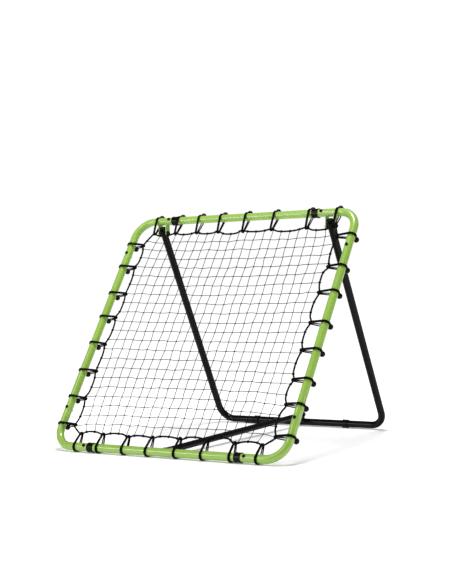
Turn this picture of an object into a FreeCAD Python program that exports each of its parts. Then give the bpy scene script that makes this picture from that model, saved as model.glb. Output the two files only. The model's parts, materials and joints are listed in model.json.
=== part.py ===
"""Pitch back rebounder: a square tube frame with a sprung net, held up by a hinged
rear support and a telescopic strut.  Millimetres, +Z up, +Y towards the back.

The origin is on the floor, in the middle of the stand.
Three working planes are used:
  frame plane    x along the tubes, y up the frame, z out of the net towards the player
  support plane  origin at the hinge, x along the rear tube, -y down the legs
  strut line     origin at the front pivot, y along the strut, z on its upper side
"""
import FreeCAD
import Part
import math
import os

from FreeCAD import Placement, Rotation, Vector

# ---------------------------------------------------------------- driving dimensions
frame_outer = 1200.0            # outside width and height of the square frame
frame_tube_dia = 35.0
frame_lean = 34.3               # degrees back from vertical in the steepest position
frame_bend_radius = 88.0        # centre line of the corner bends
tube_wall = 1.5

support_tube_dia = 32.0
support_half_width = 447.0      # mid plane to each leg
support_bend_radius = 68.0
leg_length = 1006.0             # hinge to rear tube centre line
hinge_down = 47.0               # hinge below the top tube's axis, along the frame
hinge_back = 32.0               # hinge behind the frame plane

strut_outer_dia = 28.0
strut_inner_dia = 24.0
strut_outer_length = 827.0      # from the front pivot
strut_nose = 12.0               # outer tube in front of its pivot
strut_inner_length = 825.0
strut_tail = 28.0               # inner tube past its rear bolt
strut_front_pivot = (38.0, 26.0)    # behind the bottom tube's axis, above the floor
stand_middle = 544.0            # origin behind the bottom tube's axis
strut_ear_height = 31.0         # rear bolt above the rear tube's axis

support_swing = 30.0            # degrees of travel of the rear support
lock_positions = 5              # holes in the strut over that travel
lock_from_end = 40.0            # button from the inner tube's front end

# ---------------------------------------------------------------- joints between tubes
spigot_length = 55.0            # reduced tube end inside the next tube
spigot_gap = 0.15
swage_length = 8.0
rail_joint = 375.0              # joints in the top and bottom rails, from the middle
rail_bolt_step = 32.0           # bolt outboard of the joint
side_bolt_step = 35.0
side_joint = 214.0              # joints in the side rails, from the corner
rear_joint = 245.0
rear_bolt_step = 22.0
leg_joint = 204.0               # joint in each leg, up from the rear tube

collar_width = 29.5
rear_collar_width = 24.0
collar_wall = 2.85
collar_lip = 0.9
collar_lip_width = 3.5
collar_gap = 0.15

bolt_radius = 3.0               # M6 joint bolts
bolt_head_radius = 7.2
bolt_head_height = 4.0
socket_radius = 2.3             # hexagonal recess in a bolt's head, corner to middle
socket_depth = 2.2
nut_radius = 5.8
nut_height = 5.0
bolt_end = 2.0                  # thread showing past the nut
hole_gap = 0.12
seat_gap = 0.1                  # head or nut off the tube

pivot_radius = 4.0              # M8 pivot bolts
pivot_gap = 0.05
pivot_head_height = 5.3
pivot_nut_radius = 7.5          # hexagons of the bolt's head and nut, corner to middle
pivot_nut_height = 6.5
sleeve_radius = 6.0
sleeve_end = 0.2                # sleeve past the tube that it goes through

cheek_thickness = 4.0
cheek_gap = 36.0                # between the two cheeks of a hinge bracket
cheek_radius = 14.5
strut_bracket_radius = 12.5
washer_radius = 14.0
washer_thickness = 1.5
leg_above_hinge = 26.0
cap_height = 6.0
cap_plug = 5.0
strut_cap_height = 2.0
strut_cap_plug = 12.0

# ---------------------------------------------------------------- net, rope and bungees
# border rope inside the tubes' axes at a bungee, and how much further in it bows between
rope_lines = {
    "bottom": (62.0, 11.5),
    "right": (68.0, 13.0),
    "top": (71.0, 12.0),
    "left": (67.0, 9.5),
}
rope_dia = 7.0
rope_grip = 11.0                # half the straight stretch of rope in a bungee's loop
rope_turn_radius = 10.0         # tight turn of the rope beside the loop
net_thickness = 2.0
net_inset = 12.0

bungee_band = 5.4               # one elastic cord
bungee_width = 11.0             # two cords side by side
bungee_tube_gap = 0.3
bungee_rope_gap = 1.2
ball_radius = 12.5
ball_bore = 2.4
ball_gap = 0.3

# where the bungees are hooked on, from the middle of a rail or from the bottom of a side
top_bungees = (-475, -353, -235, -115, 19, 169, 346, 483)
bottom_bungees = (-458, -337, -201, -76, 67, 203, 337, 465)
left_bungees = (102, 232, 367, 505, 644, 769, 912, 1037)
right_bungees = (98, 240, 351, 488, 615, 762, 887, 1040)
# side of the tube that each row of balls sits on, degrees from straight behind
# towards the outside of the frame
top_ball_angle = 63.0
bottom_ball_angle = -20.0
left_ball_angle = 3.0
right_ball_angle = 8.0
side_ball_rise = 3.0            # balls of the side rails sit above their loops
top_ball_step = -5.0            # balls of the top rail sit to the left of their loops

# ---------------------------------------------------------------- worked out from these
frame_radius = frame_tube_dia / 2
support_radius = support_tube_dia / 2
strut_bracket_half = strut_outer_dia / 2 + 1.2
collar_reach = collar_gap + collar_wall + collar_lip
rail_half = frame_outer / 2 - frame_radius
side_height = frame_outer - frame_tube_dia
bottom_axis_height = frame_radius + bungee_tube_gap + bungee_band
rear_axis_height = support_radius + collar_reach
spigot_radius = frame_radius - tube_wall - spigot_gap
rear_spigot_radius = support_radius - tube_wall - spigot_gap

x_axis = Vector(1, 0, 0)
y_axis = Vector(0, 1, 0)
z_axis = Vector(0, 0, 1)


def turn_about_x(origin, degrees):
    """A working plane: turned about the x axis, then moved to its origin."""
    return Placement(origin, Rotation(x_axis, degrees))


frame_plane = turn_about_x(Vector(0, -stand_middle, bottom_axis_height), 90 - frame_lean)
hinge_point = frame_plane.multVec(Vector(0, side_height - hinge_down, -hinge_back))
leg_lean = math.acos((hinge_point.z - rear_axis_height) / leg_length)
support_plane = turn_about_x(hinge_point, 90 + math.degrees(leg_lean))
rear_axis = support_plane.multVec(Vector(0, -leg_length, 0))
front_pivot = Vector(0, strut_front_pivot[0] - stand_middle, strut_front_pivot[1])


def find_rear_bolt():
    """The rear bolt stands square above the rear tube, seen along the strut."""
    bolt = rear_axis
    for _ in range(20):
        along = (bolt - front_pivot).normalize()
        up = Vector(0, -along.z, along.y)
        bolt = rear_axis + up * strut_ear_height
    return bolt


def seen_from_front_pivot(point):
    """Distance and angle above level, in degrees."""
    along = point - front_pivot
    return along.Length, math.degrees(math.atan2(along.z, along.y))


def turned_about_hinge(point, degrees):
    return Placement(Vector(0, 0, 0), Rotation(x_axis, degrees), hinge_point).multVec(point)


rear_bolt = find_rear_bolt()
strut_reach, strut_rise = seen_from_front_pivot(rear_bolt)
strut_line = turn_about_x(front_pivot, strut_rise)

# The strut turns and slides at fixed ratios to the support's turn.  They are exact at
# both ends of the travel, and the slots in the rear ears take up what is between.
open_reach, open_rise = seen_from_front_pivot(turned_about_hinge(rear_bolt, support_swing))
strut_turn_ratio = (open_rise - strut_rise) / support_swing
strut_slide = open_reach - strut_reach


def bolt_in_ears(part):
    """Where the rear bolt stands in the ears, with the support at rest, part way open."""
    turn = support_swing * part
    rise = math.radians(strut_rise + strut_turn_ratio * turn)
    reach = strut_reach + strut_slide * part
    bolt = front_pivot + Vector(0, math.cos(rise), math.sin(rise)) * reach
    return turned_about_hinge(bolt, -turn)


slot_end = max(
    (bolt_in_ears(step / 20) for step in range(21)),
    key=lambda point: (point - rear_bolt).Length,
)


# ---------------------------------------------------------------- general shapes
def rod(radius, start, end):
    """A round bar from one point to another."""
    along = end - start
    return Part.makeCylinder(radius, along.Length, start, along)


def ring(outer, inner, start, end):
    """A round bar with a bore."""
    along = (end - start).normalize()
    bore = rod(inner, start - along, end + along)
    return rod(outer, start, end).cut(bore)


def hex_bar(radius, start, end):
    """A hexagonal bar from one point to another; the radius is to its corners."""
    along = end - start
    corners = []
    for step in range(7):
        angle = math.radians(60 * step)
        corners.append(Vector(radius * math.cos(angle), radius * math.sin(angle), 0))
    bar = Part.Face(Part.makePolygon(corners)).extrude(z_axis * along.Length)
    bar.Placement = Placement(start, Rotation(z_axis, along))
    return bar


def hex_nut(radius, bore, start, end):
    along = (end - start).normalize()
    return hex_bar(radius, start, end).cut(rod(bore, start - along, end + along))


def belt_face(big_radius, small_radius, distance):
    """The outline of a belt round two circles; the small one is at (distance, 0)."""
    lean = math.acos((big_radius - small_radius) / distance)
    cosine, sine = math.cos(lean), math.sin(lean)
    big_top = Vector(big_radius * cosine, big_radius * sine, 0)
    big_low = Vector(big_radius * cosine, -big_radius * sine, 0)
    small_top = Vector(distance + small_radius * cosine, small_radius * sine, 0)
    small_low = Vector(distance + small_radius * cosine, -small_radius * sine, 0)
    edges = [
        Part.Arc(big_top, Vector(-big_radius, 0, 0), big_low).toShape(),
        Part.makeLine(big_low, small_low),
        Part.Arc(small_low, Vector(distance + small_radius, 0, 0), small_top).toShape(),
        Part.makeLine(small_top, big_top),
    ]
    return Part.Face(Part.Wire(edges))


def rounded_path(points, radii, closed=False):
    """Straight runs through the points, joined by tangent arcs of the given radii."""
    count = len(points)
    corners = range(count) if closed else range(1, count - 1)
    bends = {}
    for index in corners:
        here = points[index]
        back = (points[index - 1] - here).normalize()
        ahead = (points[(index + 1) % count] - here).normalize()
        half_turn = (math.pi - back.getAngle(ahead)) / 2
        reach = radii[index] * math.tan(half_turn)
        inward = (back + ahead).normalize()
        depth = radii[index] * (1 / math.cos(half_turn) - 1)
        bends[index] = (here + back * reach, here + inward * depth, here + ahead * reach)
    edges = []
    last = count if closed else count - 1
    for index in range(last):
        after = (index + 1) % count
        start = bends[index][2] if index in bends else points[index]
        end = bends[after][0] if after in bends else points[after]
        edges.append(Part.LineSegment(start, end).toShape())
        if after in bends:
            edges.append(Part.Arc(*bends[after]).toShape())
    return Part.Wire(edges)


def pipe(path, radius, start, along):
    """A solid round bar swept along a path."""
    circle = Part.makeCircle(radius, start, along)
    return path.makePipe(Part.Face(Part.Wire(circle)))


def bent_tube(points, bend_radius, outer):
    """A hollow tube with one bend."""
    path = rounded_path(points, [0, bend_radius, 0])
    along = points[1] - points[0]
    skin = pipe(path, outer, points[0], along)
    bore = pipe(path, outer - tube_wall, points[0], along)
    return skin.cut(bore)


def spigot_tube(start, end, outer, spigot, both_ends=True):
    """A straight tube whose ends are reduced to fit inside the next tube."""
    along = end - start
    length = along.Length
    inner = outer - tube_wall
    core = spigot - tube_wall
    outline = [Vector(spigot, 0, -spigot_length), Vector(spigot, 0, 0), Vector(outer, 0, 0)]
    if both_ends:
        outline += [
            Vector(outer, 0, length),
            Vector(spigot, 0, length),
            Vector(spigot, 0, length + spigot_length),
            Vector(core, 0, length + spigot_length),
            Vector(core, 0, length - swage_length / 2),
            Vector(inner, 0, length - swage_length),
        ]
    else:
        outline += [Vector(outer, 0, length), Vector(inner, 0, length)]
    outline += [
        Vector(inner, 0, swage_length),
        Vector(core, 0, swage_length / 2),
        Vector(core, 0, -spigot_length),
    ]
    outline.append(outline[0])
    tube = Part.Face(Part.makePolygon(outline)).revolve(Vector(0, 0, 0), z_axis, 360)
    tube.Placement = Placement(start, Rotation(z_axis, along))
    return tube


def drill(shape, radius, start, end):
    """A through hole a little past both points."""
    along = (end - start).normalize()
    return shape.cut(rod(radius, start - along * 3, end + along * 3))


def joint_collar(centre, along, tube_radius, width):
    """A plastic sleeve over a joint, with a lip at each end."""
    inner = tube_radius + collar_gap
    outer = inner + collar_wall
    half = along * (width / 2)
    lip = along * collar_lip_width
    sleeve = ring(outer, inner, centre - half, centre + half)
    for end, step in ((centre - half, lip), (centre + half, lip * -1)):
        sleeve = sleeve.fuse(ring(outer + collar_lip, inner, end, end + step))
    return sleeve.removeSplitter()


def joint_bolt(centre, out, tube_radius):
    """A socket button bolt through a tube; the head is on the side that out points to."""
    seat = centre + out * (tube_radius + seat_gap)
    tail = centre - out * (tube_radius + seat_gap + nut_height + bolt_end)
    head = rod(bolt_head_radius, seat, seat + out * bolt_head_height)
    rim = [
        edge for edge in head.Edges
        if edge.Closed and (edge.CenterOfMass - seat).Length > bolt_head_height / 2
    ]
    head = head.makeFillet(bolt_head_height * 0.6, rim)
    top = seat + out * bolt_head_height
    socket = hex_bar(socket_radius, top - out * socket_depth, top + out)
    return head.cut(socket).fuse(rod(bolt_radius, tail, seat + out)).removeSplitter()


def joint_nut(centre, out, tube_radius):
    """The nut on the other side of the tube."""
    face = centre - out * (tube_radius + seat_gap)
    return hex_nut(nut_radius, bolt_radius + hole_gap / 2, face, face - out * nut_height)


def pivot_bolt(centre, half_grip):
    """A hexagon-headed cross bolt on the x axis with its head on the left."""
    seat = centre - x_axis * half_grip
    tail = centre + x_axis * (half_grip + pivot_nut_height + bolt_end)
    head = hex_bar(pivot_nut_radius, seat, seat - x_axis * pivot_head_height)
    return head.fuse(rod(pivot_radius, seat - x_axis, tail)).removeSplitter()


def pivot_nut(centre, half_grip):
    """The locking nut on a cross bolt."""
    face = centre + x_axis * half_grip
    bore = pivot_radius + pivot_gap
    return hex_nut(pivot_nut_radius, bore, face, face + x_axis * pivot_nut_height)


def group(shapes):
    """Several separate solids kept in one node."""
    return shapes[0] if len(shapes) == 1 else Part.makeCompound(shapes)


# ---------------------------------------------------------------- main frame
def rail_joints():
    """Joint centre, direction out to the corner and bolt centre of the rail joints."""
    joints = []
    for height in (0, side_height):
        for side in (-1, 1):
            centre = Vector(side * rail_joint, height, 0)
            bolt = Vector(side * (rail_joint + rail_bolt_step), height, 0)
            joints.append((centre, x_axis * side, bolt))
    return joints


def side_joints():
    """The same for the joints in the side rails."""
    joints = []
    for side in (-1, 1):
        for corner, step in ((0, 1), (side_height, -1)):
            centre = Vector(side * rail_half, corner + step * side_joint, 0)
            bolt = centre - y_axis * (step * side_bolt_step)
            joints.append((centre, y_axis * -step, bolt))
    return joints


frame_joints = rail_joints() + side_joints()


def bore_for_bolts(tube, joints, reach):
    """Cut the joint bolts' holes; every bolt stands square to the tube's plane."""
    for _, _, bolt in joints:
        tube = drill(tube, bolt_radius + hole_gap, bolt - z_axis * reach, bolt + z_axis * reach)
    return tube


def corner_tube(side, height):
    """A corner bend with its two straight ends."""
    step = 1 if height == 0 else -1
    points = [
        Vector(side * rail_joint, height, 0),
        Vector(side * rail_half, height, 0),
        Vector(side * rail_half, height + step * side_joint, 0),
    ]
    tube = bent_tube(points, frame_bend_radius, frame_radius)
    near = [joint for joint in frame_joints if (joint[2] - points[1]).Length < side_joint]
    return bore_for_bolts(tube, near, frame_radius)


def rail_tube(height):
    start = Vector(-rail_joint, height, 0)
    end = Vector(rail_joint, height, 0)
    tube = spigot_tube(start, end, frame_radius, spigot_radius)
    mine = [joint for joint in rail_joints() if abs(joint[0].y - height) < 1]
    return bore_for_bolts(tube, mine, frame_radius)


def side_tube(side):
    start = Vector(side * rail_half, side_joint, 0)
    end = Vector(side * rail_half, side_height - side_joint, 0)
    tube = spigot_tube(start, end, frame_radius, spigot_radius)
    mine = [joint for joint in side_joints() if joint[0].x * side > 0]
    return bore_for_bolts(tube, mine, frame_radius)


def welded_plates(rail, pivot, radius, half_gap):
    """Two plates welded to a rail, one each side of the pivot they carry.

    Both points are in the frame plane, at the same place along the rail.
    """
    reach = pivot - rail
    aim = Vector(reach).normalize()
    plate = belt_face(radius, radius - 0.5, reach.Length).extrude(z_axis * cheek_thickness)
    plate = plate.cut(Part.makeCylinder(frame_radius, cheek_thickness))
    hole = Part.makeCylinder(pivot_radius + pivot_gap, cheek_thickness, Vector(reach.Length, 0, 0))
    plate = plate.cut(hole)
    turn = Rotation(aim, x_axis.cross(aim), x_axis, "ZXY")
    plates = []
    for near in (-half_gap - cheek_thickness, half_gap):
        copy = plate.copy()
        copy.Placement = Placement(rail + x_axis * near, turn)
        plates.append(copy)
    return group(plates)


def hinge_bracket(side):
    """The plates under the top rail, one each side of a leg."""
    rail = Vector(side * support_half_width, side_height, 0)
    pivot = rail - Vector(0, hinge_down, hinge_back)
    return welded_plates(rail, pivot, cheek_radius, cheek_gap / 2)


def strut_bracket():
    """The plates behind the bottom rail, one each side of the strut."""
    pivot = frame_plane.inverse().multVec(front_pivot)
    return welded_plates(Vector(0, 0, 0), pivot, strut_bracket_radius, strut_bracket_half)


# ---------------------------------------------------------------- net, rope and bungees
def bungee_rows():
    """Tube point of every bungee in a row, with the row's direction in to the net."""
    return {
        "bottom": ([Vector(at, 0, 0) for at in bottom_bungees], y_axis),
        "right": ([Vector(rail_half, at, 0) for at in right_bungees], x_axis * -1),
        "top": ([Vector(at, side_height, 0) for at in top_bungees], y_axis * -1),
        "left": ([Vector(-rail_half, at, 0) for at in left_bungees], x_axis),
    }


# angle of a row's balls, and their step along the tube from their loops
ball_places = {
    "bottom": (bottom_ball_angle, Vector(0, 0, 0)),
    "right": (right_ball_angle, y_axis * side_ball_rise),
    "top": (top_ball_angle, x_axis * top_ball_step),
    "left": (left_ball_angle, y_axis * side_ball_rise),
}


def rope_points(inset):
    """Corners in order round the net, this far inside the rope, with the turns' radii."""
    points = []
    radii = []
    for side, (spots, inward) in bungee_rows().items():
        setback, sag = rope_lines[side]
        if side in ("top", "left"):
            spots = spots[::-1]
        along = (spots[-1] - spots[0]).normalize()
        for number, spot in enumerate(spots):
            held = spot + inward * (setback + inset)
            points += [held - along * rope_grip, held + along * rope_grip]
            radii += [rope_turn_radius, rope_turn_radius]
            if number + 1 < len(spots):
                after = spots[number + 1]
                points.append((spot + after) * 0.5 + inward * (setback + inset + sag))
                radii.append(rope_bow_radius((after - spot).Length, sag))
    return points, radii


def rope_bow_radius(span, sag):
    """An easy curve that takes up most of the rope between two bungees."""
    half_run = math.hypot(span / 2 - rope_grip, sag)
    half_turn = math.atan2(sag, span / 2 - rope_grip)
    return 0.8 * half_run / math.tan(half_turn)


def border_rope():
    path = rounded_path(*rope_points(0), closed=True)
    first = path.Edges[0]
    along = first.tangentAt(first.FirstParameter)
    rope = pipe(path, rope_dia / 2, first.Vertexes[0].Point, along)
    print("border rope length", round(path.Length), "mm")
    return rope if rope.ShapeType == "Solid" else Part.Solid(rope.Shells[0])


def net_sheet():
    points, _ = rope_points(net_inset)
    outline = Part.makePolygon(points + [points[0]])
    sheet = Part.Face(outline).extrude(z_axis * net_thickness)
    sheet.translate(z_axis * (-net_thickness / 2))
    return sheet


bungee_big_radius = frame_radius + bungee_tube_gap + bungee_band
bungee_small_radius = rope_dia / 2 + bungee_rope_gap + bungee_band


def bungee_loop(spot, inward, setback):
    """A doubled elastic cord: round the tube and the rope like a belt."""
    outer = belt_face(bungee_big_radius, bungee_small_radius, setback)
    inner = belt_face(
        bungee_big_radius - bungee_band, bungee_small_radius - bungee_band, setback
    )
    belt = outer.cut(inner).extrude(z_axis * bungee_width)
    along = inward.cross(z_axis)
    start = spot - along * (bungee_width / 2)
    belt.Placement = Placement(start, Rotation(inward, z_axis, along, "XYZ"))
    return belt


def bungee_ball(spot, inward, setback, angle):
    """A bored ball that rests on the outside of its loop, behind the tube.

    The loop leaves the tube's round at belt_lean, so a ball further in stands further off.
    """
    belt_lean = math.asin((bungee_big_radius - bungee_small_radius) / setback)
    turn = math.radians(angle)
    beyond = max(0, -turn - belt_lean)
    reach = (bungee_big_radius + ball_gap + ball_radius) / math.cos(beyond)
    out = z_axis * -math.cos(turn) - inward * math.sin(turn)
    centre = spot + out * reach
    ball = Part.makeSphere(ball_radius, centre, out)
    return ball.cut(rod(ball_bore, centre - out * 20, centre + out * 20))


def bungees(side):
    spots, inward = bungee_rows()[side]
    setback, _ = rope_lines[side]
    angle, step = ball_places[side]
    loops = [bungee_loop(spot, inward, setback) for spot in spots]
    balls = [bungee_ball(spot + step, inward, setback, angle) for spot in spots]
    return group(loops), group(balls)


# ---------------------------------------------------------------- rear support
def rear_joints():
    """Joints of the rear tube, listed as for the frame."""
    joints = []
    for side in (-1, 1):
        centre = Vector(side * rear_joint, -leg_length, 0)
        joints.append((centre, x_axis * side, centre + x_axis * (side * rear_bolt_step)))
    return joints


def leg_joints():
    """Joints at the lower ends of the legs."""
    joints = []
    for side in (-1, 1):
        centre = Vector(side * support_half_width, -leg_length + leg_joint, 0)
        joints.append((centre, y_axis * -1, centre - y_axis * rear_bolt_step))
    return joints


support_joints = rear_joints() + leg_joints()


def leg_tube(side):
    low = Vector(side * support_half_width, -leg_length + leg_joint, 0)
    high = Vector(side * support_half_width, leg_above_hinge, 0)
    tube = spigot_tube(low, high, support_radius, rear_spigot_radius, both_ends=False)
    mine = [joint for joint in leg_joints() if joint[0].x * side > 0]
    tube = bore_for_bolts(tube, mine, support_radius)
    middle = Vector(side * support_half_width, 0, 0)
    half = x_axis * support_radius
    return drill(tube, sleeve_radius + hole_gap, middle - half, middle + half)


def rear_corner_tube(side):
    points = [
        Vector(side * rear_joint, -leg_length, 0),
        Vector(side * support_half_width, -leg_length, 0),
        Vector(side * support_half_width, -leg_length + leg_joint, 0),
    ]
    tube = bent_tube(points, support_bend_radius, support_radius)
    mine = [joint for joint in support_joints if joint[0].x * side > 0]
    return bore_for_bolts(tube, mine, support_radius)


def rear_tube():
    start = Vector(-rear_joint, -leg_length, 0)
    end = Vector(rear_joint, -leg_length, 0)
    tube = spigot_tube(start, end, support_radius, rear_spigot_radius)
    return bore_for_bolts(tube, rear_joints(), support_radius)


def leg_cap(side):
    """A domed plastic plug in the open top of a leg."""
    seat = Vector(side * support_half_width, leg_above_hinge + seat_gap, 0)
    plug = rod(support_radius - tube_wall - spigot_gap, seat - y_axis * cap_plug, seat + y_axis)
    dome = rod(support_radius, seat, seat + y_axis * cap_height)
    top = [edge for edge in dome.Edges if edge.Closed and edge.CenterOfMass.y > seat.y + 1]
    dome = dome.makeFillet(cap_height * 0.8, top)
    return dome.fuse(plug).removeSplitter()


def leg_sleeve(side):
    """A steel sleeve through the leg, which turns on the hinge bolt."""
    middle = Vector(side * support_half_width, 0, 0)
    half = x_axis * (support_radius + sleeve_end)
    return ring(sleeve_radius, pivot_radius + pivot_gap, middle - half, middle + half)


def hinge_washers(side):
    """Plastic washers on the hinge bolt, on both sides of each of the bracket's cheeks."""
    middle = Vector(side * support_half_width, 0, 0)
    inside = cheek_gap / 2 - seat_gap - washer_thickness
    outside = cheek_gap / 2 + cheek_thickness + seat_gap
    washers = []
    for way in (-1, 1):
        for start in (inside, outside):
            near = middle + x_axis * (way * start)
            face = near + x_axis * (way * washer_thickness)
            washers.append(ring(washer_radius, pivot_radius + seat_gap, near, face))
    return washers


ear_half = strut_inner_dia / 2 + 0.8
ear_slot_width = 9.6            # the bolt's path in the slot is bowed by half a millimetre
ear_radius = 12.0
ear_foot_radius = 14.0


def strut_ears():
    """Two slotted plates on the rear tube that hold the strut's rear bolt."""
    left = x_axis * (-ear_half - cheek_thickness)

    def disc(centre, radius):
        return Part.makeCylinder(radius, cheek_thickness, centre + left, x_axis)

    def web(first, second, half_width):
        along = (second - first).normalize()
        side = Vector(0, -along.z, along.y) * half_width
        corners = [first + side, second + side, second - side, first - side, first + side]
        face = Part.Face(Part.makePolygon([corner + left for corner in corners]))
        return face.extrude(x_axis * cheek_thickness)

    plate = disc(rear_bolt, ear_radius).fuse([
        disc(slot_end, ear_radius),
        disc(rear_axis, ear_foot_radius),
        web(rear_bolt, slot_end, ear_radius),
        web(rear_bolt, rear_axis, ear_radius),
        web(slot_end, rear_axis, ear_radius),
    ]).removeSplitter()
    slot = disc(rear_bolt, ear_slot_width / 2).fuse([
        disc(slot_end, ear_slot_width / 2),
        web(rear_bolt, slot_end, ear_slot_width / 2),
    ])
    plate = plate.cut(slot)
    plate = plate.cut(rod(support_radius, rear_axis - x_axis * 60, rear_axis + x_axis * 60))
    return group([plate, plate.translated(x_axis * (2 * ear_half + cheek_thickness))])


# ---------------------------------------------------------------- strut
inner_start = strut_reach + strut_tail - strut_inner_length
lock_place = inner_start + lock_from_end
lock_pitch = strut_slide / (lock_positions - 1)
button_radius = 4.0
button_proud = 2.5
flange_radius = 5.5
flange_x = 8.7                  # outer face of the button's flange
button_round = 1.8
strut_collar_width = 14.0
strut_collar_wall = 1.9
strut_collar_lip = 2.5          # covers the tube's end


def strut_outer_tube():
    outer = strut_outer_dia / 2
    front = y_axis * -strut_nose
    tube = ring(outer, outer - tube_wall, front, y_axis * strut_outer_length)
    tube = drill(tube, sleeve_radius + hole_gap, x_axis * -outer, x_axis * outer)
    for number in range(lock_positions):
        place = y_axis * (lock_place + number * lock_pitch)
        tube = tube.cut(rod(button_radius + 0.35, place, place - x_axis * (outer + 5)))
    return tube


def strut_front_sleeve():
    half = x_axis * (strut_outer_dia / 2 + sleeve_end)
    return ring(sleeve_radius, pivot_radius + pivot_gap, half * -1, half)


def strut_collar():
    """The plastic guide ring on the open end of the outer tube."""
    outer = strut_outer_dia / 2
    start = y_axis * (strut_outer_length - strut_collar_width)
    end = y_axis * (strut_outer_length + strut_collar_lip)
    body = rod(outer + strut_collar_wall, start, end)
    rims = [edge for edge in body.Edges if edge.Closed]
    body = body.makeFillet(0.8 * strut_collar_wall, rims)
    body = body.cut(rod(outer + collar_gap, start - y_axis, y_axis * (strut_outer_length + 0.1)))
    return body.cut(rod(strut_inner_dia / 2 + 0.2, start, end + y_axis))


def strut_inner_tube():
    outer = strut_inner_dia / 2
    end = y_axis * (strut_reach + strut_tail)
    tube = ring(outer, outer - tube_wall, y_axis * inner_start, end)
    bolt = y_axis * strut_reach
    tube = drill(tube, pivot_radius + pivot_gap, bolt - x_axis * outer, bolt + x_axis * outer)
    place = y_axis * lock_place
    return tube.cut(rod(button_radius + 0.15, place, place - x_axis * (outer + 5)))


def strut_end_plug():
    """A plastic plug in the square-cut rear end."""
    outer = strut_inner_dia / 2
    end = y_axis * (strut_reach + strut_tail + seat_gap)
    plug = rod(outer - tube_wall - spigot_gap, end - y_axis * strut_cap_plug, end + y_axis)
    return plug.fuse(rod(outer, end, end + y_axis * strut_cap_height)).removeSplitter()


def lock_button():
    """A spring button: it comes out through both tubes and locks the strut."""
    place = y_axis * lock_place
    tip = place - x_axis * (strut_outer_dia / 2 + button_proud)
    body = rod(button_radius, place - x_axis * flange_x, tip)
    tip_edges = [edge for edge in body.Edges if edge.Closed and edge.CenterOfMass.x < tip.x + 1]
    body = body.makeFillet(button_round, tip_edges)
    flange = rod(flange_radius, place - x_axis * (flange_x - 1), place - x_axis * flange_x)
    return body.fuse(flange).removeSplitter()


def lock_spring():
    """A V of spring strip that pushes the button out from the opposite wall."""
    near = -(flange_x - 1.1)
    far = 8.6
    thickness = 0.8
    back = lock_place - 6.0
    bend = lock_place + 46.0
    outline = [
        Vector(near, back, 0), Vector(near, lock_place + 8, 0), Vector(0.5, bend, 0),
        Vector(far, lock_place + 8, 0), Vector(far, back, 0),
        Vector(far - thickness, back, 0), Vector(far - thickness, lock_place + 8, 0),
        Vector(0.5, bend - 3.5, 0),
        Vector(near + thickness, lock_place + 8, 0), Vector(near + thickness, back, 0),
    ]
    width = 7.0
    strip = Part.Face(Part.makePolygon(outline + [outline[0]])).extrude(z_axis * width)
    return strip.translated(z_axis * (-width / 2))


# ---------------------------------------------------------------- all the sub-parts
def frame_nodes():
    collars = [joint_collar(c, a, frame_radius, collar_width) for c, a, _ in rail_joints()]
    bolts = [joint_bolt(b, z_axis, frame_radius) for _, _, b in frame_joints]
    nuts = [joint_nut(b, z_axis, frame_radius) for _, _, b in frame_joints]
    nodes = {
        "corner_tube_bottom_left": corner_tube(-1, 0),
        "corner_tube_bottom_right": corner_tube(1, 0),
        "corner_tube_top_left": corner_tube(-1, side_height),
        "corner_tube_top_right": corner_tube(1, side_height),
        "bottom_tube": rail_tube(0),
        "top_tube": rail_tube(side_height),
        "left_tube": side_tube(-1),
        "right_tube": side_tube(1),
        "frame_joint_collars": group(collars),
        "frame_joint_bolts": group(bolts),
        "frame_joint_nuts": group(nuts),
        "hinge_bracket_left": hinge_bracket(-1),
        "hinge_bracket_right": hinge_bracket(1),
        "strut_bracket": strut_bracket(),
        "net": net_sheet(),
        "border_rope": border_rope(),
    }
    for side in ("top", "bottom", "left", "right"):
        loops, balls = bungees(side)
        nodes["bungee_loops_" + side] = loops
        nodes["bungee_balls_" + side] = balls
    return nodes


def hinge_nodes():
    """The hinge bolts, nuts and washers, which stay with the frame."""
    half_grip = cheek_gap / 2 + cheek_thickness + washer_thickness + 2 * seat_gap
    middles = [Vector(side * support_half_width, 0, 0) for side in (-1, 1)]
    return {
        "hinge_bolts": group([pivot_bolt(middle, half_grip) for middle in middles]),
        "hinge_nuts": group([pivot_nut(middle, half_grip) for middle in middles]),
        "hinge_washers": group(hinge_washers(-1) + hinge_washers(1)),
    }


def support_nodes():
    width = rear_collar_width
    collars = [joint_collar(c, a, support_radius, width) for c, a, _ in rear_joints()]
    bolts = [joint_bolt(b, z_axis, support_radius) for _, _, b in support_joints]
    nuts = [joint_nut(b, z_axis, support_radius) for _, _, b in support_joints]
    return {
        "leg_tube_left": leg_tube(-1),
        "leg_tube_right": leg_tube(1),
        "rear_corner_tube_left": rear_corner_tube(-1),
        "rear_corner_tube_right": rear_corner_tube(1),
        "rear_tube": rear_tube(),
        "rear_joint_collars": group(collars),
        "rear_joint_bolts": group(bolts),
        "rear_joint_nuts": group(nuts),
        "leg_end_caps": group([leg_cap(-1), leg_cap(1)]),
        "leg_pivot_sleeves": group([leg_sleeve(-1), leg_sleeve(1)]),
    }


def strut_nodes():
    middle = Vector(0, 0, 0)
    front_grip = strut_bracket_half + cheek_thickness + seat_gap
    rear_grip = ear_half + cheek_thickness + seat_gap + 0.3
    rear_middle = y_axis * strut_reach
    return {
        "strut_front_bolt": pivot_bolt(middle, front_grip),
        "strut_front_nut": pivot_nut(middle, front_grip),
        "strut_outer_tube": strut_outer_tube(),
        "strut_front_sleeve": strut_front_sleeve(),
        "strut_guide_collar": strut_collar(),
        "strut_inner_tube": strut_inner_tube(),
        "strut_end_plug": strut_end_plug(),
        "strut_rear_bolt": pivot_bolt(rear_middle, rear_grip),
        "strut_rear_nut": pivot_nut(rear_middle, rear_grip),
        "lock_button": lock_button(),
        "lock_spring": lock_spring(),
    }


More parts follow.
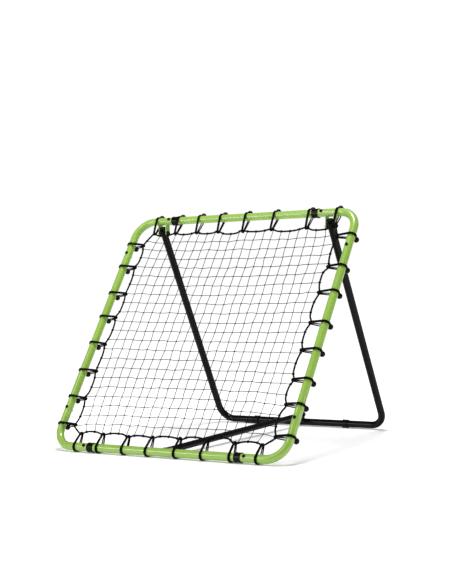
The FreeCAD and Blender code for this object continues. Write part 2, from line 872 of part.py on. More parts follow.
def placed(nodes, plane):
    result = {}
    for name, shape in nodes.items():
        moved = shape.copy()
        moved.Placement = plane.multiply(moved.Placement)
        result[name] = moved
    return result


def main():
    os.makedirs("parts", exist_ok=True)
    nodes = {"strut_ears": strut_ears()}
    nodes.update(placed(frame_nodes(), frame_plane))
    nodes.update(placed(hinge_nodes(), support_plane))
    nodes.update(placed(support_nodes(), support_plane))
    nodes.update(placed(strut_nodes(), strut_line))
    for name, shape in sorted(nodes.items()):
        assert shape.isValid(), name
        shape.exportStep("parts/" + name + ".step")
        print(name, len(shape.Solids), "solid(s)", round(shape.Volume / 1000, 1), "cm3")
    print("hinge", hinge_point)
    print("front pivot", front_pivot)
    print("rear bolt", rear_bolt)
    print("strut rise", strut_rise)
    print("strut turn ratio", strut_turn_ratio)
    print("strut slide per radian", strut_slide / math.radians(support_swing))


main()
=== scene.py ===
"""Pitch back rebounder: the looks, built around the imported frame.  Metres, +Z up."""

import json
import math
import random

import bmesh
import bpy
from mathutils import Matrix, Vector


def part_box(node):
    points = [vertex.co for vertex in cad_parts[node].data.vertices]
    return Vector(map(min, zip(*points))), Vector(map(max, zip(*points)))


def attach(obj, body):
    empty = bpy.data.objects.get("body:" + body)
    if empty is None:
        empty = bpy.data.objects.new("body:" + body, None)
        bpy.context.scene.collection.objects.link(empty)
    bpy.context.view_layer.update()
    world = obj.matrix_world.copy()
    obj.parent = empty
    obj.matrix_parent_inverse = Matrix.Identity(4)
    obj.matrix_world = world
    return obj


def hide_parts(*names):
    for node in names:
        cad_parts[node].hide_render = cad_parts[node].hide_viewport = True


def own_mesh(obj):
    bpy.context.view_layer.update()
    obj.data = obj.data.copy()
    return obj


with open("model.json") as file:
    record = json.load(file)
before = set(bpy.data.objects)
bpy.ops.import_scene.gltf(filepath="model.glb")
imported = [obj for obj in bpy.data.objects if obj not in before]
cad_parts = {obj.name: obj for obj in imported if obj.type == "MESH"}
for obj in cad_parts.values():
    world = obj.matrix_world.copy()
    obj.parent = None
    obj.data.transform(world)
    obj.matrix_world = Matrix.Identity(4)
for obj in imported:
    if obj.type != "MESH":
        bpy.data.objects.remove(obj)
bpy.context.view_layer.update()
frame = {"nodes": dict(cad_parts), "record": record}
random.seed(7)

# ---------------------------------------------------------------- places, from the frame
rope_radius = 0.0039
string_radius = 0.0014
cord_radius = 0.0027
ball_radius = 0.0125
cells = 22                      # net cells each way

# border rope inside the tubes' axes at a bungee, and how much further in it bows between
rope_lines = {
    "bottom": (0.062, 0.0115),
    "right": (0.068, 0.013),
    "top": (0.071, 0.012),
    "left": (0.067, 0.0095),
}
# where the bungees are hooked on, from the middle of a rail or from the bottom of a side
top_bungees = (-0.475, -0.353, -0.235, -0.115, 0.019, 0.169, 0.346, 0.483)
bottom_bungees = (-0.458, -0.337, -0.201, -0.076, 0.067, 0.203, 0.337, 0.465)
left_bungees = (0.102, 0.232, 0.367, 0.505, 0.644, 0.769, 0.912, 1.037)
right_bungees = (0.098, 0.240, 0.351, 0.488, 0.615, 0.762, 0.887, 1.040)
# side of the tube that each row of balls sits on, degrees from straight behind towards
# the outside of the frame, and the balls' step along the tube from their loops
ball_places = {
    "bottom": (-20, (0, 0)),
    "right": (8, (0, 0.003)),
    "top": (63, (-0.005, 0)),
    "left": (3, (0, 0.003)),
}


def middle(node):
    low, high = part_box(node)
    return (low + high) / 2


bottom_axis = middle("bottom_tube")
top_axis = middle("top_tube")
rail_up = (top_axis - bottom_axis).normalized()
side_height = (top_axis - bottom_axis).length
rail_half = (middle("right_tube").x - middle("left_tube").x) / 2
tube_radius = (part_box("bottom_tube")[1].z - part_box("bottom_tube")[0].z) / 2
right = Vector((1, 0, 0))
front = right.cross(rail_up)            # out of the net, towards the player


def in_frame(u, v, n=0.0):
    """A point in the frame's plane: u to the right, v up from the bottom tube, n forward."""
    return bottom_axis + right * u + rail_up * v + front * n


def bungee_rows():
    """Tube points of each row of bungees, with the row's direction in to the net."""
    return {
        "bottom": ([(u, 0) for u in bottom_bungees], (0, 1)),
        "right": ([(rail_half, v) for v in right_bungees], (-1, 0)),
        "top": ([(u, side_height) for u in top_bungees], (0, -1)),
        "left": ([(-rail_half, v) for v in left_bungees], (1, 0)),
    }


# ---------------------------------------------------------------- materials
class Nodes:
    """A short way to write a node tree."""

    def __init__(self, name):
        self.material = bpy.data.materials.new(name)
        self.material.use_nodes = True
        self.tree = self.material.node_tree
        self.shader = self.tree.nodes["Principled BSDF"]

    def add(self, kind, **values):
        node = self.tree.nodes.new(kind)
        for key, value in values.items():
            if key in node.inputs:
                node.inputs[key].default_value = value
            else:
                setattr(node, key, value)
        return node

    def link(self, source, target):
        self.tree.links.new(source, target)

    def coordinates(self, kind="Object"):
        return self.add("ShaderNodeTexCoord").outputs[kind]

    def noise(self, scale, detail=3.0, roughness=0.5):
        node = self.add("ShaderNodeTexNoise", Scale=scale, Detail=detail, Roughness=roughness)
        self.link(self.coordinates(), node.inputs["Vector"])
        return node.outputs["Fac"]

    def ramp(self, value, stops):
        node = self.add("ShaderNodeValToRGB")
        elements = node.color_ramp.elements
        while len(elements) < len(stops):
            elements.new(0.5)
        for element, (position, colour) in zip(elements, stops):
            element.position = position
            element.color = (*colour, 1.0)
        self.link(value, node.inputs["Fac"])
        return node.outputs["Color"]

    def spread(self, value, low, high, start=0.0, end=1.0, smooth=False):
        """Maps value from start..end to low..high, held at both ends."""
        node = self.add("ShaderNodeMapRange")
        if smooth:
            node.interpolation_type = "SMOOTHSTEP"
        for socket, number in (("From Min", start), ("From Max", end),
                               ("To Min", low), ("To Max", high)):
            node.inputs[socket].default_value = number
        self.link(value, node.inputs["Value"])
        return node.outputs["Result"]

    def math(self, operation, first, second=0.5):
        node = self.add("ShaderNodeMath", operation=operation)
        for socket, value in zip(node.inputs, (first, second)):
            if isinstance(value, (int, float)):
                socket.default_value = value
            else:
                self.link(value, socket)
        return node.outputs["Value"]

    def bump(self, height, strength, distance):
        node = self.add("ShaderNodeBump")
        node.inputs["Strength"].default_value = strength
        node.inputs["Distance"].default_value = distance
        self.link(height, node.inputs["Height"])
        return node.outputs["Normal"]

    def to(self, output, socket):
        self.link(output, self.shader.inputs[socket])

    def set(self, **values):
        for key, value in values.items():
            self.shader.inputs[key.replace("_", " ")].default_value = value


def shade(colour, factor):
    """The colour, darker or lighter."""
    return tuple(channel * factor for channel in colour)


def powder_coat(name, colour, roughness, coat, gleam=0.5):
    """Sprayed powder: a faint orange peel under a glossy skin, a little uneven in colour."""
    m = Nodes(name)
    m.set(Coat_Weight=coat, Coat_Roughness=0.11, Specular_IOR_Level=gleam)
    cloud = m.noise(9.0, 4.0)
    m.to(m.ramp(cloud, [(0.3, shade(colour, 0.94)), (0.7, shade(colour, 1.05))]), "Base Color")
    m.to(m.spread(m.noise(30.0, 3.0), roughness - 0.02, roughness + 0.03), "Roughness")
    m.to(m.bump(m.noise(700.0, 2.0), 0.03, 0.0001), "Normal")
    return m.material


def moulded_plastic(name, colour, roughness, grain=1500.0, strength=0.18, gleam=0.35):
    """Moulded plastic with a fine grain."""
    m = Nodes(name)
    m.set(Specular_IOR_Level=gleam)
    cloud = m.noise(25.0, 3.0)
    m.to(m.ramp(cloud, [(0.25, shade(colour, 0.8)), (0.75, shade(colour, 1.25))]), "Base Color")
    m.to(m.spread(m.noise(grain, 3.0), roughness - 0.08, roughness + 0.1), "Roughness")
    m.to(m.bump(m.noise(grain, 2.0), strength, 0.0003), "Normal")
    return m.material


def plated_steel(name, colour, roughness, metallic=1.0):
    """Bolts, sleeves and springs, brighter where they are rubbed."""
    m = Nodes(name)
    m.set(Metallic=metallic, Specular_IOR_Level=0.12)
    rub = m.noise(300.0, 5.0, 0.7)
    m.to(m.ramp(rub, [(0.35, shade(colour, 0.75)), (0.7, shade(colour, 1.5))]), "Base Color")
    m.to(m.spread(m.noise(700.0, 4.0), roughness - 0.08, roughness + 0.12), "Roughness")
    m.to(m.bump(m.noise(1400.0, 2.0), 0.12, 0.0002), "Normal")
    return m.material


def braided_cord(name, colour, pitch, around, fuzz=0.5):
    """Braid from two crossing helices.  The mesh's UVs run round once and along in metres."""
    m = Nodes(name)
    split = m.add("ShaderNodeSeparateXYZ")
    m.link(m.coordinates("UV"), split.inputs["Vector"])
    turn = m.math("MULTIPLY", split.outputs["X"], 2 * math.pi * around)
    run = m.math("MULTIPLY", split.outputs["Y"], 2 * math.pi / pitch)
    one = m.math("SINE", m.math("ADD", turn, run))
    two = m.math("SINE", m.math("SUBTRACT", turn, run))
    weave = m.spread(m.math("MULTIPLY", one, two), 0.0, 1.0)
    fibre = m.noise(2600.0, 3.0, 0.7)
    mix = m.math("MULTIPLY", weave, m.math("ADD", m.math("MULTIPLY", fibre, fuzz), 0.6))
    # Painted shade: the ramp darkens the braid's grooves and lightens the strands' crowns, from
    # the same relief as the bump; the fibre noise is the cord's own uneven tone.
    m.to(m.ramp(mix, [(0.15, shade(colour, 0.55)), (0.8, shade(colour, 1.4))]), "Base Color")
    m.set(Roughness=0.8, Specular_IOR_Level=0.08)
    m.to(m.bump(mix, 0.35, 0.0004), "Normal")
    return m.material


def floor_material():
    """A white sweep that shows the object's own shadows and no others.

    Near the object the floor is mostly lit by the lamps.  Further away it glows
    more, to stay just white where the lamps fade and the shadows would stretch.
    """
    under, beside, distant = 0.17, 0.40, 0.42       # glow; the last is added far away
    shadow_edge, white_edge, far_edge = 0.54, 0.66, 5.0     # metres from the middle
    m = Nodes("studio_floor")
    stops = [(0.2, (0.88, 0.88, 0.88)), (0.8, (0.91, 0.91, 0.91))]
    m.to(m.ramp(m.noise(0.6, 2.0), stops), "Base Color")
    m.set(Roughness=1.0, Specular_IOR_Level=0.0, Emission_Color=(1.0, 1.0, 1.0, 1.0))
    split = m.add("ShaderNodeSeparateXYZ")
    m.link(m.coordinates(), split.inputs["Vector"])
    across = m.math("ABSOLUTE", split.outputs["X"], 0.0)
    along = m.math("ABSOLUTE", split.outputs["Y"], 0.0)
    reach = m.math("MAXIMUM", across, along)
    edge = m.spread(reach, under, beside, shadow_edge, white_edge, smooth=True)
    far = m.spread(reach, 0.0, distant, white_edge, far_edge)
    m.to(m.math("ADD", edge, far), "Emission Strength")
    return m.material


green = powder_coat("green_powder_coat", (0.242, 0.427, 0.043), 0.40, 0.8)
black = powder_coat("black_powder_coat", (0.0012, 0.0012, 0.0013), 0.30, 0.30, 0.0)
weld_paint = powder_coat("painted_weld", (0.25, 0.44, 0.05), 0.42, 0.15)
black_weld = powder_coat("black_weld", (0.0018, 0.0018, 0.0019), 0.34, 0.2, 0.02)
collar_plastic = moulded_plastic("black_plastic", (0.0016, 0.0016, 0.0017), 0.13,
                                 grain=1500.0, strength=0.04, gleam=0.11)
washer_plastic = moulded_plastic("washer_plastic", (0.007, 0.007, 0.007), 0.5)
ball_plastic = moulded_plastic("ball_plastic", (0.0018, 0.0018, 0.0019), 0.2,
                               grain=900.0, strength=0.04, gleam=0.12)
black_bolt = plated_steel("black_bolt", (0.004, 0.004, 0.0043), 0.22, 0.0)
bright_steel = plated_steel("bright_steel", (0.42, 0.42, 0.41), 0.32)
rope_material = braided_cord("border_rope", (0.004, 0.004, 0.0042), 0.011, 3)
elastic_material = braided_cord("elastic_cord", (0.004, 0.004, 0.0042), 0.006, 3, 0.3)
net_material = braided_cord("net_twine", (0.004, 0.004, 0.0045), 0.005, 1)

CAD_MATERIALS = {
    green: ("corner_tube_bottom_left", "corner_tube_bottom_right", "corner_tube_top_left",
            "corner_tube_top_right", "bottom_tube", "top_tube", "left_tube", "right_tube",
            "hinge_bracket_left", "hinge_bracket_right", "strut_bracket"),
    black: ("leg_tube_left", "leg_tube_right", "rear_corner_tube_left",
            "rear_corner_tube_right", "rear_tube", "strut_ears", "strut_outer_tube",
            "strut_inner_tube"),
    collar_plastic: ("frame_joint_collars", "rear_joint_collars", "leg_end_caps",
                     "strut_guide_collar", "strut_end_plug"),
    washer_plastic: ("hinge_washers",),
    black_bolt: ("frame_joint_bolts", "frame_joint_nuts", "rear_joint_bolts", "rear_joint_nuts",
                 "hinge_bolts", "hinge_nuts", "strut_front_bolt", "strut_front_nut",
                 "strut_rear_bolt", "strut_rear_nut"),
    bright_steel: ("lock_button", "lock_spring", "leg_pivot_sleeves", "strut_front_sleeve"),
}
for material, names in CAD_MATERIALS.items():
    for name in names:
        for slot in frame["nodes"][name].material_slots:
            slot.material = material


# ---------------------------------------------------------------- mesh tools
def new_object(name, mesh, material, body):
    """A new piece that moves with a body and takes its finish from a slot."""
    piece = bpy.data.objects.new(name, mesh)
    bpy.context.scene.collection.objects.link(piece)
    mesh.materials.append(material)
    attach(piece, body)
    return piece


def add_tube(bm, points, radius, sides=8, closed=False):
    """Sweeps a round section along points, with UVs once round and in metres along."""
    uv = bm.loops.layers.uv.verify()
    count = len(points)
    radii = radius if isinstance(radius, (list, tuple)) else [radius] * count
    tangents = []
    for index in range(count):
        before = points[index - 1] if index or closed else points[index]
        after = points[(index + 1) % count] if index + 1 < count or closed else points[index]
        tangents.append((after - before).normalized())
    helper = Vector((0, 0, 1)) if abs(tangents[0].z) < 0.9 else Vector((1, 0, 0))
    normal = (helper - tangents[0] * helper.dot(tangents[0])).normalized()
    rings = []
    lengths = [0.0]
    for index in range(count):
        tangent = tangents[index]
        normal = (normal - tangent * normal.dot(tangent)).normalized()
        across = tangent.cross(normal)
        ring = []
        for side in range(sides):
            angle = 2 * math.pi * side / sides
            offset = normal * math.cos(angle) + across * math.sin(angle)
            ring.append(bm.verts.new(points[index] + offset * radii[index]))
        rings.append(ring)
        if index:
            lengths.append(lengths[-1] + (points[index] - points[index - 1]).length)
    if closed:
        lengths.append(lengths[-1] + (points[0] - points[-1]).length)
    last = count if closed else count - 1
    for index in range(last):
        ring, after = rings[index], rings[(index + 1) % count]
        shift = best_shift(ring, after) if closed and index == count - 1 else 0
        for side in range(sides):
            step = (side + 1) % sides
            beyond = after[(step + shift) % sides], after[(side + shift) % sides]
            face = bm.faces.new((ring[side], ring[step], *beyond))
            face.smooth = True
            u0, u1 = side / sides, (side + 1) / sides
            v0, v1 = lengths[index], lengths[index + 1]
            for loop, value in zip(face.loops, ((u0, v0), (u1, v0), (u1, v1), (u0, v1))):
                loop[uv].uv = value
    if not closed:
        bm.faces.new(rings[0][::-1])
        bm.faces.new(rings[-1])


def best_shift(ring, after):
    """How far to turn the last ring of a closed tube so that it meets the first."""
    count = len(ring)
    return min(range(count), key=lambda shift: (ring[0].co - after[shift].co).length)


def to_mesh(name, bm):
    """Ends a bmesh: its faces point outwards and it becomes a mesh."""
    bmesh.ops.recalc_face_normals(bm, faces=bm.faces)
    mesh = bpy.data.meshes.new(name)
    bm.to_mesh(mesh)
    bm.free()
    return mesh


def smooth_curve(points, steps, closed=False):
    """A Catmull-Rom curve through the points."""
    count = len(points)
    result = []
    runs = count if closed else count - 1
    for index in range(runs):
        p1, p2 = points[index], points[(index + 1) % count]
        p0 = points[index - 1] if index or closed else p1
        p3 = points[(index + 2) % count] if index + 2 < count or closed else p2
        for step in range(steps):
            t = step / steps
            a = (p2 - p0) / 2
            b = (p3 - p1) / 2
            result.append(
                p1 * (2 * t**3 - 3 * t**2 + 1) + a * (t**3 - 2 * t**2 + t)
                + p2 * (3 * t**2 - 2 * t**3) + b * (t**3 - t**2)
            )
    if not closed:
        result.append(points[-1])
    return result


def add_blob(bm, centre, size, turn):
    """A small rounded lump, used for knots: size along three axes turned by a matrix."""
    matrix = Matrix.Translation(centre) @ turn.to_4x4() @ Matrix.Diagonal((*size, 1))
    made = bmesh.ops.create_icosphere(bm, subdivisions=2, radius=1.0, matrix=matrix)
    for vertex in made["verts"]:
        for face in vertex.link_faces:
            face.smooth = True


def add_ring(bm, centre, axis, major, minor, major_steps, minor_steps):
    """A small closed ring round an axis."""
    turn = axis.to_track_quat("Z", "Y").to_matrix()
    points = []
    for step in range(major_steps):
        angle = 2 * math.pi * step / major_steps
        points.append(centre + turn @ Vector((math.cos(angle), math.sin(angle), 0)) * major)
    add_tube(bm, points, minor, minor_steps, closed=True)


# ---------------------------------------------------------------- border rope and net
def rope_route():
    """Points of the rope's middle line in the frame's plane, as (u, v), once round."""
    route = []
    for side, (spots, inward) in bungee_rows().items():
        setback, sag = rope_lines[side]
        spots = [Vector(spot) for spot in spots]
        if side in ("top", "left"):
            spots.reverse()
        inward = Vector(inward)
        along = (spots[-1] - spots[0]).normalized()
        pinch = along * 0.006           # the rope runs straight through a loop
        for number, spot in enumerate(spots):
            pull = setback + random.uniform(-0.003, 0.004)
            lean = along * random.uniform(-0.005, 0.005)
            held = spot + inward * pull + lean
            route += [held - pinch, held + pinch]
            if number + 1 < len(spots):
                gap = spots[number + 1] - spot
                deep = sag * random.uniform(0.75, 1.35)
                skew = random.uniform(-0.05, 0.05)
                for part, depth in ((0.24, 0.78), (0.5, 1.0), (0.76, 0.78)):
                    route.append(spot + gap * (part + skew) + inward * (pull + deep * depth))
    return route


rope_uv = rope_route()
rope_line = smooth_curve([in_frame(u, v) for u, v in rope_uv], 5, closed=True)


def build_rope():
    """The braided rope that holds the net's edge."""
    bm = bmesh.new()
    add_tube(bm, rope_line, rope_radius, 12, closed=True)
    mesh = to_mesh("border_rope_braided", bm)
    piece = new_object("border_rope_braided", mesh, rope_material, "frame")
    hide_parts("border_rope")


def rope_side_points():
    """The rope's line cut at its four corners into evenly spaced points for the net."""
    flat = [((p - bottom_axis).dot(right), (p - bottom_axis).dot(rail_up)) for p in rope_line]
    half = max(u for u, _ in flat)
    corners = []
    for target in ((-half, 0), (half, 0), (half, side_height), (-half, side_height)):
        corners.append(min(
            range(len(flat)),
            key=lambda i: (flat[i][0] - target[0]) ** 2 + (flat[i][1] - target[1]) ** 2,
        ))
    sides = []
    for index in range(4):
        start, end = corners[index], corners[(index + 1) % 4]
        if end <= start:
            end += len(flat)
        run = [Vector(flat[i % len(flat)]) for i in range(start, end + 1)]
        sides.append(evenly(run, cells))
    return sides


def evenly(run, parts):
    """Points that divide a run into equal lengths."""
    lengths = [0.0]
    for a, b in zip(run, run[1:]):
        lengths.append(lengths[-1] + (b - a).length)
    result = []
    for step in range(parts + 1):
        goal = lengths[-1] * step / parts
        index = max(i for i in range(len(lengths)) if lengths[i] <= goal + 1e-9)
        index = min(index, len(run) - 2)
        rest = (goal - lengths[index]) / (lengths[index + 1] - lengths[index])
        result.append(run[index].lerp(run[index + 1], rest))
    return result


def relaxed_net():
    """Knots of the net, held at the rope and pulled straight like springs in between."""
    low, right_side, high, left_side = rope_side_points()
    high, left_side = high[::-1], left_side[::-1]
    grid = [[None] * (cells + 1) for _ in range(cells + 1)]
    for i in range(cells + 1):
        for j in range(cells + 1):
            s, t = i / cells, j / cells
            across = left_side[j].lerp(right_side[j], s)
            upward = low[i].lerp(high[i], t)
            flat = low[0].lerp(low[-1], s).lerp(high[0].lerp(high[-1], s), t)
            grid[i][j] = across + upward - flat
    relaxing_rounds = 60
    for _ in range(relaxing_rounds):
        for i in range(1, cells):
            for j in range(1, cells):
                beside = grid[i - 1][j] + grid[i + 1][j]
                grid[i][j] = (beside + grid[i][j - 1] + grid[i][j + 1]) / 4
    return grid


def net_places():
    """Where the net's crossings are: a little uneven, and bellied away from the player."""
    slack, depth = 0.0022, 0.010
    grid = relaxed_net()
    places = {}
    for i in range(cells + 1):
        for j in range(cells + 1):
            edge = i in (0, cells) or j in (0, cells)
            loose = 0.0 if edge else slack
            u, v = grid[i][j]
            belly = math.sin(math.pi * i / cells) * math.sin(math.pi * j / cells)
            places[i, j] = in_frame(
                u + random.uniform(-loose, loose),
                v + random.uniform(-loose, loose),
                -depth * belly + random.uniform(-loose, loose),
            )
    return places


def build_net():
    """Strings, a knot at each crossing, and a whipping where a string ends on the rope."""
    knot_size = (0.0036, 0.0026, 0.0023)
    whipping_radius, whipping_step = 0.0013, 0.0014
    places = net_places()
    strings = bmesh.new()
    knots = bmesh.new()
    for line in range(1, cells):
        for run in ([places[line, j] for j in range(cells + 1)],
                    [places[i, line] for i in range(cells + 1)]):
            add_string(strings, run)
    diagonal = (right + rail_up).to_track_quat("X", "Z").to_matrix()
    other = (right - rail_up).to_track_quat("X", "Z").to_matrix()
    for i in range(1, cells):
        for j in range(1, cells):
            size = random.uniform(0.9, 1.15)
            turn = diagonal if (i + j) % 2 else other
            add_blob(knots, places[i, j], [part * size for part in knot_size], turn)
    for line in range(1, cells):
        for i, j in ((line, 0), (line, cells), (0, line), (cells, line)):
            along = nearest_rope_direction(places[i, j])
            for shift in (-whipping_step, whipping_step):
                add_ring(knots, places[i, j] + along * shift, along,
                         rope_radius + 0.0008, whipping_radius, 10, 5)
    piece = new_object("net_twine", to_mesh("net_twine", strings), net_material,
                       "frame")
    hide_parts("net")
    new_object("net_knots", to_mesh("net_knots", knots), net_material, "frame")


def add_string(bm, run):
    """One string of twine, slightly slack between its knots."""
    points = []
    for a, b in zip(run, run[1:]):
        points.append(a)
        bow = front * random.uniform(-0.0012, 0.0012)
        bow += (b - a).cross(front) * random.uniform(-0.03, 0.03)
        points.append((a + b) / 2 + bow)
    points.append(run[-1])
    add_tube(bm, smooth_curve(points, 2), string_radius, 6)


def nearest_rope_direction(point):
    """Which way the rope runs at the place nearest to a point."""
    count = len(rope_line)
    index = min(range(count), key=lambda i: (rope_line[i] - point).length)
    return (rope_line[(index + 1) % count] - rope_line[index - 1]).normalized()


# ---------------------------------------------------------------- bungees
def around_tube(spot, inward, degrees, radius, along, shift=0.0):
    """A point at an angle round a tube: 0 is in towards the net, 90 is the front."""
    angle = math.radians(degrees)
    centre = in_frame(*spot)
    return (centre + inward * (math.cos(angle) * radius) + front * (math.sin(angle) * radius)
            + along * shift)


def add_bungee(cords, balls, side_name, spot, inward_uv):
    """Two strands over the front of the tube and two behind it, from the rope to a ball."""
    ball_angle, step_uv = ball_places[side_name]
    inward = right * inward_uv[0] + rail_up * inward_uv[1]
    along = inward.cross(front)
    step = (right * step_uv[0] + rail_up * step_uv[1]).dot(along)
    lean = random.uniform(-0.002, 0.002)
    reach = tube_radius + cord_radius + 0.0002
    setback, rope_lean = nearest_rope(spot, inward, along)
    ball_at = 270.0 - ball_angle                # degrees round the tube, as in around_tube
    tangent = math.degrees(math.acos(reach / setback))
    rope_top = rope_radius + cord_radius
    ball_reach = ball_distance(ball_angle)
    hook = in_frame(*spot) + along * rope_lean
    turn_step = 18              # degrees between two points of a cord round the tube
    last_wrap = 24              # the cord's even wrap ends this far from the ball
    lift, neck = 0.0006, 0.0040     # how far the cord stands off before and at the ball

    def at(degrees, radius, shift):
        return around_tube(spot, inward, degrees, radius, along, shift)

    for side in (-1, 1):
        shift = side * cord_radius * 1.02
        wide = side * cord_radius * random.uniform(1.0, 1.25)
        start = hook + inward * (setback + rope_top) + along * shift
        beside_rope = hook + inward * (setback + rope_top * 0.3)
        over = beside_rope + front * rope_top + along * shift
        under = beside_rope - front * rope_top + along * shift
        near_ball = shift + lean + step * 0.8

        line = [start, over]
        angle = tangent
        while angle < ball_at - last_wrap:
            line.append(at(angle, reach, wide + lean))
            angle += turn_step
        line.append(at(ball_at - 20, reach + lift, wide + lean + step * 0.3))
        line.append(at(ball_at - 6, reach + neck, near_ball))
        line.append(at(ball_at, ball_reach, step))
        add_tube(cords, smooth_curve(line, 4), cord_radius, 8)

        spread = side * cord_radius * random.uniform(1.2, 2.4)
        line = [start, under]
        angle = 360 - tangent
        if angle < ball_at + 10:
            line.append(at(ball_at + 14, reach + 0.003, spread + lean))
        else:
            while angle > ball_at + last_wrap:
                line.append(at(angle, reach, spread + lean))
                angle -= turn_step
            line.append(at(ball_at + 20, reach + lift, spread + lean))
        line.append(at(ball_at + 6, reach + neck, near_ball))
        line.append(at(ball_at, ball_reach, step))
        add_tube(cords, smooth_curve(line, 4), cord_radius, 8)

    centre = at(ball_at, ball_reach, step)
    outward = (centre - at(ball_at, 0.0, step)).normalized()
    add_ball(balls, centre, outward)
    knot = centre + outward * (ball_radius + 0.0005)
    turn = outward.to_track_quat("Z", "Y").to_matrix()
    add_blob(cords, knot, (0.0036, 0.0036, 0.0026), turn)


def ball_distance(ball_angle):
    """Ball centre from the tube's axis, the same as in the part.

    A loop leaves the tube's round at loop_lean, so a ball further in stands further off.
    """
    nearest, loop_lean = 0.0360, 11.3
    return nearest / math.cos(math.radians(max(0.0, -ball_angle - loop_lean)))


def nearest_rope(spot, inward, along):
    """How far the rope really is from this bungee's tube, and how far along it is held."""
    centre = in_frame(*spot)
    reaches = [((p - centre).dot(inward), (p - centre).dot(along)) for p in rope_line]
    close = [(away, aside) for away, aside in reaches if 0.03 < away < 0.12]
    return min(close, key=lambda place: place[0] + 2 * abs(place[1]))


def add_ball(bm, centre, axis):
    """A moulded ball, turned round its bore: a rounded lip, a mould seam and a blind hole."""
    seam_step, seam_height = 7, 0.00012
    profile = [
        (0.0032, -0.0128), (0.0052, -0.0128), (0.0062, -0.0122), (0.0068, -0.0110),
    ]
    for step in range(15):
        angle = math.radians(-56 + step * 9.0)
        bulge = seam_height if step == seam_step else 0.0
        profile.append(((ball_radius + bulge) * math.cos(angle), ball_radius * math.sin(angle)))
    profile += [(0.0040, 0.0119), (0.0031, 0.0110), (0.0028, 0.0080)]
    turn = axis.to_track_quat("Z", "Y").to_matrix()
    steps = 24
    rings = []
    for radius, height in profile:
        ring = []
        for step in range(steps):
            angle = 2 * math.pi * step / steps
            local = Vector((radius * math.cos(angle), radius * math.sin(angle), height))
            ring.append(bm.verts.new(centre + turn @ local))
        rings.append(ring)
    for ring, after in zip(rings, rings[1:]):
        for step in range(steps):
            face = bm.faces.new((
                ring[step], ring[(step + 1) % steps], after[(step + 1) % steps], after[step]
            ))
            face.smooth = True
    bm.faces.new(rings[0][::-1])
    bm.faces.new(rings[-1])


def build_bungees():
    """Each side's eight elastic loops as one piece and its eight balls as another."""
    for side, (spots, inward) in bungee_rows().items():
        cords, balls = bmesh.new(), bmesh.new()
        for spot in spots:
            add_bungee(cords, balls, side, spot, inward)
        name = "elastic_cords_" + side
        piece = new_object(name, to_mesh(name, cords), elastic_material, "frame")
        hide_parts("bungee_loops_" + side)
        name = "cord_balls_" + side
        piece = new_object(name, to_mesh(name, balls), ball_plastic, "frame")
        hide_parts("bungee_balls_" + side)


# ---------------------------------------------------------------- welds
plate_thickness = 0.004         # brackets and ears stand in pairs of plates
bead_radius = 0.0011
bead_stand = 0.0002             # the bead's middle above the tube
rear_tube_radius = 0.016


def add_arc_bead(bm, rail, aim, radius, half_angle):
    """A weld bead round part of a tube on the x axis, centred on the way a plate points."""
    across = right.cross(aim)
    half_steps = 7
    points = []
    for step in range(2 * half_steps + 1):
        angle = half_angle * (step / half_steps - 1)
        way = aim * math.cos(angle) + across * math.sin(angle)
        points.append(rail + way * (radius + random.uniform(-0.0002, 0.0002)))
    radii = [bead_radius * random.uniform(0.85, 1.15) for _ in points]
    add_tube(bm, points, radii, 6)


def build_weld(name, plates, bolt, rail, radius, half_angle, material, body):
    """Beads on both faces of a node's two plates, which reach from a tube to a bolt."""
    low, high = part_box(plates)
    aim = middle(bolt) - rail
    aim = Vector((0, aim.y, aim.z)).normalized()
    bm = bmesh.new()
    for x in (low.x, low.x + plate_thickness, high.x - plate_thickness, high.x):
        place = Vector((x, rail.y, rail.z))
        add_arc_bead(bm, place, aim, radius + bead_stand, half_angle)
    new_object(name, to_mesh(name, bm), material, body)


def build_welds():
    """The beads that join the brackets to the frame and the ears to the rear tube."""
    for name in ("left", "right"):
        build_weld("hinge_weld_" + name, "hinge_bracket_" + name, "hinge_bolts",
                   in_frame(0, side_height), tube_radius, 0.95,
                   weld_paint, "frame")
    build_weld("strut_bracket_weld", "strut_bracket", "strut_front_bolt",
               in_frame(0, 0), tube_radius, 0.78, weld_paint, "frame")
    build_weld("strut_ears_weld", "strut_ears", "strut_rear_bolt",
               middle("rear_tube"), rear_tube_radius, 0.8,
               black_weld, "rear_support")


# ---------------------------------------------------------------- lock spring
def spring_path(arm, back, knee, tip, nose, steps=14):
    """The V's middle line as (across, along): two arms that slant to a rounded nose."""
    slant = math.atan((arm - nose) / (tip - knee))
    half = [(-arm, back), (-arm, (back + knee) / 2), (-arm, knee)]
    bend = [math.pi - slant - (math.pi - 2 * slant) * i / steps for i in range(steps + 1)]
    path = half + [(nose * math.cos(a), tip + nose * math.sin(a)) for a in bend]
    return path + [(-x, y) for x, y in reversed(half)]


def add_strip(bm, path, centre, along, thickness, width):
    """Sweeps a flat strip along a path across the strut, whose middle is centre."""
    up = right.cross(along)
    rings = []
    for index, (x, y) in enumerate(path):
        x0, y0 = path[max(index - 1, 0)]
        x1, y1 = path[min(index + 1, len(path) - 1)]
        run = Vector((x1 - x0, y1 - y0)).normalized()
        ring = []
        for side, edge in ((-1, -1), (1, -1), (1, 1), (-1, 1)):
            offset = side * thickness / 2
            place = centre + right * (x + run.y * offset) + along * (y - run.x * offset)
            ring.append(bm.verts.new(place + up * (edge * width / 2)))
        rings.append(ring)
    for ring, after in zip(rings, rings[1:]):
        for side in range(4):
            step = (side + 1) % 4
            bm.faces.new((ring[side], ring[step], after[step], after[side]))
    bm.faces.new(rings[0][::-1])
    bm.faces.new(rings[-1])


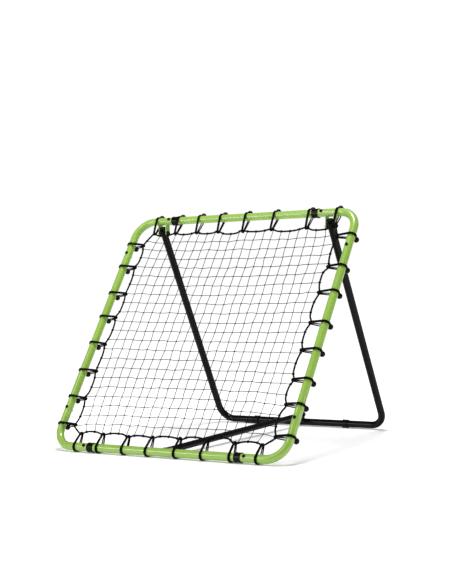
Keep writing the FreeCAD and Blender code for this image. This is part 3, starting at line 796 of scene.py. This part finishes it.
def build_lock_spring():
    """The V of spring strip behind the lock button, built in one open shape.  The real one
    closes as the button is pushed in.
    """
    thickness, width, nose = 0.0008, 0.007, 0.0016
    half_length, knee = 0.026, -0.012
    low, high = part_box("lock_spring")
    centre = middle("lock_spring")
    joints = frame["record"]["behaviour"]["joints"]
    along = Vector(next(j["axis"] for j in joints if j["name"] == "strut_slide"))
    arm = (high.x - low.x - thickness) / 2
    tip = half_length - thickness / 2 - nose
    bm = bmesh.new()
    add_strip(bm, spring_path(arm, -half_length, knee, tip, nose), centre, along,
              thickness, width)
    strip = new_object("lock_spring_strip", to_mesh("lock_spring_strip", bm), bright_steel,
                       "strut_inner")
    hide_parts("lock_spring")
    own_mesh(strip)


# ---------------------------------------------------------------- camera, light and floor
def make_camera():
    """Low and to the right on the player's side, nearly level, with a very slight roll."""
    place = Vector((3.2722, -4.8285, 0.7976))
    target = Vector((0.4337, -0.6814, 0.6769))
    roll = -0.0329                      # radians
    data = bpy.data.cameras.new("camera")
    data.lens = 81.7                    # mm
    camera = bpy.data.objects.new("camera", data)
    bpy.context.scene.collection.objects.link(camera)
    ahead = (target - place).normalized()
    side = ahead.cross(Vector((0, 0, 1))).normalized()
    up = side.cross(ahead)
    x = side * math.cos(roll) + up * math.sin(roll)
    y = up * math.cos(roll) - side * math.sin(roll)
    turn = Matrix((x, y, -ahead)).transposed().to_4x4()
    camera.matrix_world = Matrix.Translation(place) @ turn
    bpy.context.scene.camera = camera


def make_floor():
    """A wide plain floor, not part of the object."""
    half = 30.0
    corners = [(x * half, y * half, 0) for x, y in ((-1, -1), (1, -1), (1, 1), (-1, 1))]
    mesh = bpy.data.meshes.new("studio_floor")
    mesh.from_pydata(corners, [], [(0, 1, 2, 3)])
    floor = bpy.data.objects.new("studio_floor", mesh)
    bpy.context.scene.collection.objects.link(floor)
    mesh.materials.append(floor_material())


def add_light(name, place, target, size, power):
    """A rectangular lamp that faces its target: metres and watts."""
    data = bpy.data.lights.new(name, "AREA")
    data.shape = "RECTANGLE"
    data.size, data.size_y = size
    data.energy = power
    light = bpy.data.objects.new(name, data)
    light.location = place
    light.rotation_mode = "QUATERNION"
    light.rotation_quaternion = (Vector(target) - Vector(place)).to_track_quat("-Z", "Y")
    bpy.context.scene.collection.objects.link(light)


def make_light():
    """A white studio: the camera sees plain white, and the object is lit more softly."""
    seen_strength, lit_strength = 1.02, 0.30
    white = (1.0, 1.0, 1.0, 1.0)
    world = bpy.data.worlds.new("studio")
    bpy.context.scene.world = world
    world.use_nodes = True
    tree = world.node_tree
    seen = tree.nodes["Background"]
    lit = tree.nodes.new("ShaderNodeBackground")
    for background, strength in ((seen, seen_strength), (lit, lit_strength)):
        background.inputs["Color"].default_value = white
        background.inputs["Strength"].default_value = strength
    ray = tree.nodes.new("ShaderNodeLightPath")
    mix = tree.nodes.new("ShaderNodeMixShader")
    tree.links.new(ray.outputs["Is Camera Ray"], mix.inputs[0])
    tree.links.new(lit.outputs[0], mix.inputs[1])
    tree.links.new(seen.outputs[0], mix.inputs[2])
    tree.links.new(mix.outputs[0], tree.nodes["World Output"].inputs["Surface"])
    add_light("overhead", (0.3, -0.2, 4.4), target=(0, 0, 0), size=(1.1, 1.1), power=135)
    add_light("main", (-1.7, -3.2, 3.8), target=(0, 0, 0.4), size=(1.3, 1.3), power=32)
    add_light("key", (-2.7, -4.3, 1.6), target=(0, 0, 0.5), size=(1.8, 1.1), power=64)
    add_light("side", (4.2, 0.2, 0.9), target=(0, 0, 0.6), size=(0.35, 1.6), power=24)
    bpy.context.scene.view_settings.view_transform = "Standard"


make_camera()
make_floor()
make_light()
build_rope()
build_net()
build_bungees()
build_welds()
build_lock_spring()
